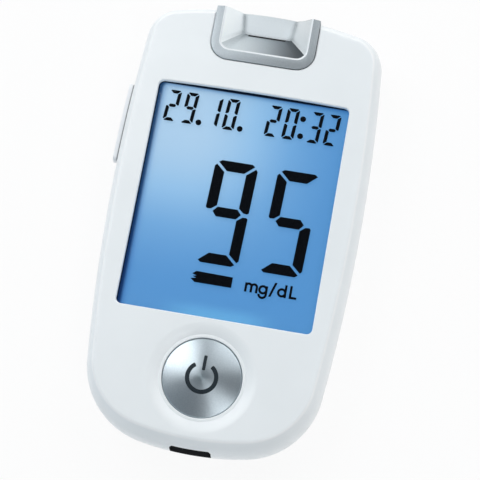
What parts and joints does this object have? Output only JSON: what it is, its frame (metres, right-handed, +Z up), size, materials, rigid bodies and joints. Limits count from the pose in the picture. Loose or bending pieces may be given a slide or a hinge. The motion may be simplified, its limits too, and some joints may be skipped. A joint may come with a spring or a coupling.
{
  "type": "blood glucose meter",
  "caption": "Palm-sized blood glucose meter with a lit display, a round front power button, a side rocker key, a test strip port and a data socket.",
  "frame": {"origin": "under the middle of the body, in the plane of its flat back", "axes": "+X across the face to the right, +Y along the body towards the strip port, +Z up out of the display"},
  "size_m": [0.056, 0.0988, 0.0161],
  "materials": {
    "white_gloss": "glossy white moulded plastic",
    "satin_silver": "satin silver paint on plastic",
    "dark_print": "dark slate print",
    "key_white": "satin white plastic",
    "window_clear": "clear polished",
    "lcd_blue": "blue lit liquid crystal glass",
    "segment_black": "black display segments",
    "holder_white": "white moulded plastic",
    "guide_clear": "clear polished",
    "flex_amber": "amber film",
    "led_blue": "pale blue",
    "rubber_grey": "matt grey elastomer",
    "board_green": "green solder mask",
    "chip_black": "black moulding compound",
    "ceramic_tan": "ceramic",
    "connector_ivory": "ivory moulded plastic",
    "contact_gold": "gold plated",
    "steel_bright": "bright steel",
    "screw_dark": "blackened steel",
    "tongue_black": "black moulded plastic"
  },
  "bodies": {
    "case": {"front_cover": "white_gloss", "back_cover": "white_gloss", "strip_port_trim": "satin_silver", "power_switch_housing": "chip_black", "side_key_pin": "steel_bright", "side_switch_housings": "chip_black", "display_window": "window_clear", "lcd_glass": "lcd_blue", "display_reading": "segment_black", "display_clock": "segment_black", "display_marks": "segment_black", "lcd_holder": "holder_white", "light_guide": "guide_clear", "backlight_flex": "flex_amber", "backlight_leds": "led_blue", "zebra_connector": "rubber_grey", "main_board": "board_green", "microcontroller": "chip_black", "board_chips": "chip_black", "board_passives": "ceramic_tan", "strip_connector": "connector_ivory", "strip_contacts": "contact_gold", "data_socket_shell": "steel_bright", "data_socket_tongue": "tongue_black", "buzzer": "chip_black", "coin_cell_upper": "steel_bright", "coin_cell_lower": "steel_bright", "cell_minus_springs": "contact_gold", "cell_plus_clips": "contact_gold", "case_screws": "screw_dark"},
    "power_button": {"power_button": "satin_silver", "power_symbol": "dark_print", "power_switch_plunger": "tongue_black"},
    "side_key": {"side_key": "key_white"},
    "upper_switch_plunger": {"side_switch_plunger_upper": "tongue_black"},
    "lower_switch_plunger": {"side_switch_plunger_lower": "tongue_black"},
    "battery_door": {"battery_door": "white_gloss"}
  },
  "joints": [
    {"name": "power_press", "type": "slide", "parent": "case", "child": "power_button", "axis": [0, 0, -1], "range_m": [0, 0.0005], "stiffness_N_per_m": 1500},
    {"name": "side_key_rock", "type": "hinge", "parent": "case", "child": "side_key", "pos_m": [-0.02461, 0.0197, 0.0097], "axis": [0, 0, 1], "range_deg": [-2.5, 2.5], "stiffness_Nm_per_rad": 0.2},
    {"name": "upper_switch_press", "type": "slide", "parent": "case", "child": "upper_switch_plunger", "axis": [1, 0, 0], "range_m": [-0.00028, 0.00028]},
    {"name": "lower_switch_press", "type": "slide", "parent": "case", "child": "lower_switch_plunger", "axis": [1, 0, 0], "range_m": [-0.00028, 0.00028]},
    {"name": "battery_door_open", "type": "hinge", "parent": "case", "child": "battery_door", "pos_m": [0, 0.01845, 0.0014], "axis": [1, 0, 0], "range_deg": [0, 75]}
  ],
  "couplings": [
    {"joint": "upper_switch_press", "follows": "side_key_rock", "m_per_rad": -0.0062},
    {"joint": "lower_switch_press", "follows": "side_key_rock", "m_per_rad": 0.0062}
  ]
}
